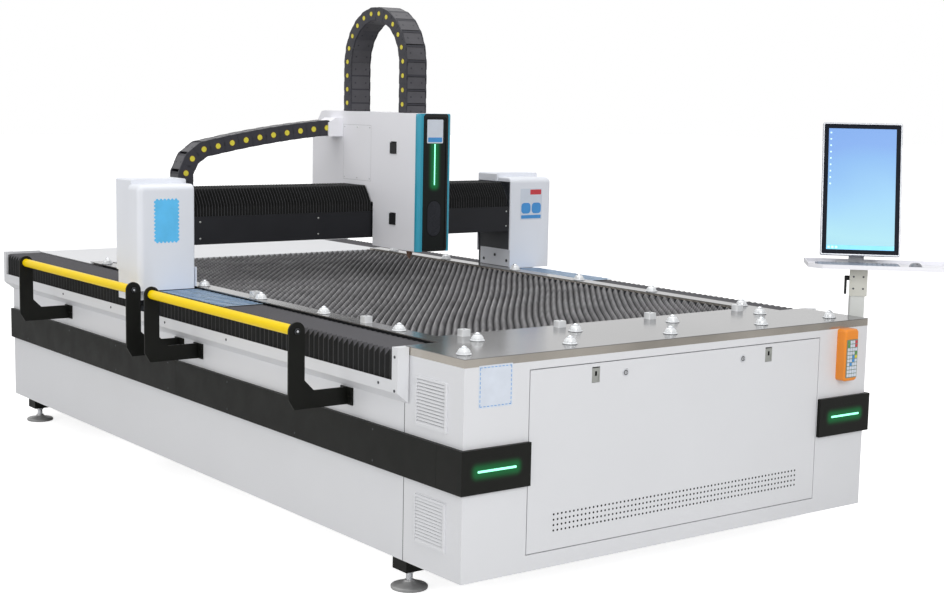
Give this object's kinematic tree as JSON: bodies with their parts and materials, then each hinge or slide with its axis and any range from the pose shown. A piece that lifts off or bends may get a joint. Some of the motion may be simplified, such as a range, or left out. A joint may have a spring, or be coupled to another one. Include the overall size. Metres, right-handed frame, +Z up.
{
  "type": "open-table fiber laser cutting machine",
  "caption": "Open-table laser cutter for sheet metal: long slatted bed, moving gantry with bellows, cutting carriage, energy chains, handrails and a swivelling operator console.",
  "frame": {"origin": "on the floor under the middle of the whole footprint, handrails and console included", "axes": "+Z up, +Y along the bed from the operator's front cabinet to the rear, +X to the operator's right"},
  "size_m": [3.0284, 4.937, 2.4354],
  "materials": {
    "white_paint": "satin powder coat",
    "light_grey_paint": "satin paint",
    "black_paint": "satin powder coat",
    "dark_frame_paint": "semi-matt paint",
    "yellow_paint": "satin paint",
    "teal_trim": "satin paint",
    "steel_plate": "brushed",
    "slat_steel": "mill finish",
    "scale_steel": "bright, slightly blue",
    "rail_steel": "ground",
    "bellows_cloth": "coated cloth, matt",
    "chain_plastic": "matt",
    "orange_plastic": "satin",
    "black_plastic": "fine texture",
    "panel_gloss": "gloss",
    "keypad": "matt",
    "zinc": "plated",
    "foot_cast": "painted",
    "motor_black": "satin",
    "head_metal": "anodised",
    "led": "lit diffuser"
  },
  "bodies": {
    "bed": {"bed_frame": "dark_frame_paint", "levelling_feet": "foot_cast", "rails_and_racks": "rail_steel", "cabinet_shell": "white_paint", "cabinet_front_frame": "white_paint", "side_panels": "white_paint", "rear_panel": "white_paint", "side_bands": "black_paint", "led_bars": "led", "louvre_vents": "white_paint", "door_hinge_pins": "zinc", "worktop_plates": "steel_plate", "slat_carriers": "dark_frame_paint", "slats": "slat_steel", "rear_deck": "white_paint", "table_fittings": "zinc", "channel_covers": "white_paint", "end_caps": "white_paint", "side_bellows_front": "bellows_cloth", "side_bellows_rear": "bellows_cloth", "scale_plates": "scale_steel", "handrail_tubes": "yellow_paint", "handrail_brackets": "black_paint", "side_chain": "chain_plastic", "console_bracket": "light_grey_paint", "pendant_body": "orange_plastic", "pendant_keypad": "keypad", "cabinet_equipment": "light_grey_paint"},
    "door": {"front_door": "white_paint"},
    "lock_left": {"cam_lock_left": "zinc"},
    "lock_right": {"cam_lock_right": "zinc"},
    "latch_left": {"latch_paddle_left": "black_plastic"},
    "latch_right": {"latch_paddle_right": "black_plastic"},
    "gantry": {"gantry_beam": "dark_frame_paint", "beam_cover_plate": "black_paint", "beam_rails": "rail_steel", "gantry_ends": "dark_frame_paint", "gantry_covers": "white_paint", "bearing_blocks": "rail_steel", "drive_motors": "motor_black", "beam_bellows": "bellows_cloth", "cross_chain": "chain_plastic"},
    "drive_left": {"pinion_left": "rail_steel"},
    "drive_right": {"pinion_right": "rail_steel"},
    "carriage": {"carriage_housing": "white_paint", "carriage_front_frame": "teal_trim", "carriage_front_panel": "panel_gloss", "carriage_light": "led", "carriage_saddle": "head_metal", "head_chain": "chain_plastic"},
    "catch_upper": {"carriage_catch_upper": "black_plastic"},
    "catch_lower": {"carriage_catch_lower": "black_plastic"},
    "head": {"cutting_head": "head_metal"},
    "console": {"console_post": "light_grey_paint", "console_tray": "white_paint", "monitor_stand": "black_plastic", "keyboard": "keypad", "mouse": "keypad"},
    "screen": {"monitor": "panel_gloss"},
    "lever": {"clamp_lever": "black_plastic"}
  },
  "joints": [
    {"name": "gantry_travel", "type": "slide", "parent": "bed", "child": "gantry", "axis": [0, 1, 0], "range_m": [-1.68, 1.37], "deforming": ["side_bellows_front", "side_bellows_rear", "scale_plates", "side_chain"]},
    {"name": "drive_left_spin", "type": "hinge", "parent": "gantry", "child": "drive_left", "pos_m": [-1.19553, 0.43154, 0.812], "axis": [0, 0, 1], "continuous": true},
    {"name": "drive_right_spin", "type": "hinge", "parent": "gantry", "child": "drive_right", "pos_m": [1.03707, 0.43154, 0.812], "axis": [0, 0, 1], "continuous": true},
    {"name": "carriage_travel", "type": "slide", "parent": "gantry", "child": "carriage", "axis": [1, 0, 0], "range_m": [-0.92, 0.58], "deforming": ["beam_bellows", "cross_chain"]},
    {"name": "head_travel", "type": "slide", "parent": "carriage", "child": "head", "axis": [0, 0, 1], "range_m": [-0.09, 0.02], "deforming": ["head_chain"]},
    {"name": "catch_upper_swing", "type": "hinge", "parent": "carriage", "child": "catch_upper", "pos_m": [-0.01223, 0.11854, 1.722], "axis": [0, 1, 0], "range_deg": [0, 25]},
    {"name": "catch_lower_swing", "type": "hinge", "parent": "carriage", "child": "catch_lower", "pos_m": [-0.01223, 0.11854, 1.348], "axis": [0, 1, 0], "range_deg": [0, 25]},
    {"name": "door_swing", "type": "hinge", "parent": "bed", "child": "door", "pos_m": [-0.08273, -2.16146, 0.207], "axis": [1, 0, 0], "range_deg": [0, 90]},
    {"name": "lock_left_turn", "type": "hinge", "parent": "door", "child": "lock_left", "pos_m": [-0.41723, -2.16346, 0.88], "axis": [0, 1, 0], "range_deg": [0, 90]},
    {"name": "lock_right_turn", "type": "hinge", "parent": "door", "child": "lock_right", "pos_m": [0.25877, -2.16346, 0.88], "axis": [0, 1, 0], "range_deg": [0, 90]},
    {"name": "latch_left_swing", "type": "hinge", "parent": "door", "child": "latch_left", "pos_m": [-0.57623, -2.16046, 0.909], "axis": [-1, 0, 0], "range_deg": [0, 45]},
    {"name": "latch_right_swing", "type": "hinge", "parent": "door", "child": "latch_right", "pos_m": [0.41877, -2.16046, 0.909], "axis": [-1, 0, 0], "range_deg": [0, 45]},
    {"name": "console_swivel", "type": "hinge", "parent": "bed", "child": "console", "pos_m": [1.12077, -2.05546, 1], "axis": [0, 0, 1], "range_deg": [-90, 60]},
    {"name": "screen_tilt", "type": "hinge", "parent": "console", "child": "screen", "pos_m": [1.17328, -2.00052, 1.57], "axis": [-0.723, 0.6909, 0], "range_deg": [-13, 12]},
    {"name": "lever_turn", "type": "hinge", "parent": "console", "child": "lever", "pos_m": [1.09185, -2.02783, 1.17], "axis": [0.723, -0.6909, 0], "range_deg": [0, 60]}
  ],
  "couplings": [
    {"joint": "drive_left_spin", "follows": "gantry_travel", "rad_per_m": 55.556},
    {"joint": "drive_right_spin", "follows": "gantry_travel", "rad_per_m": -55.556}
  ]
}
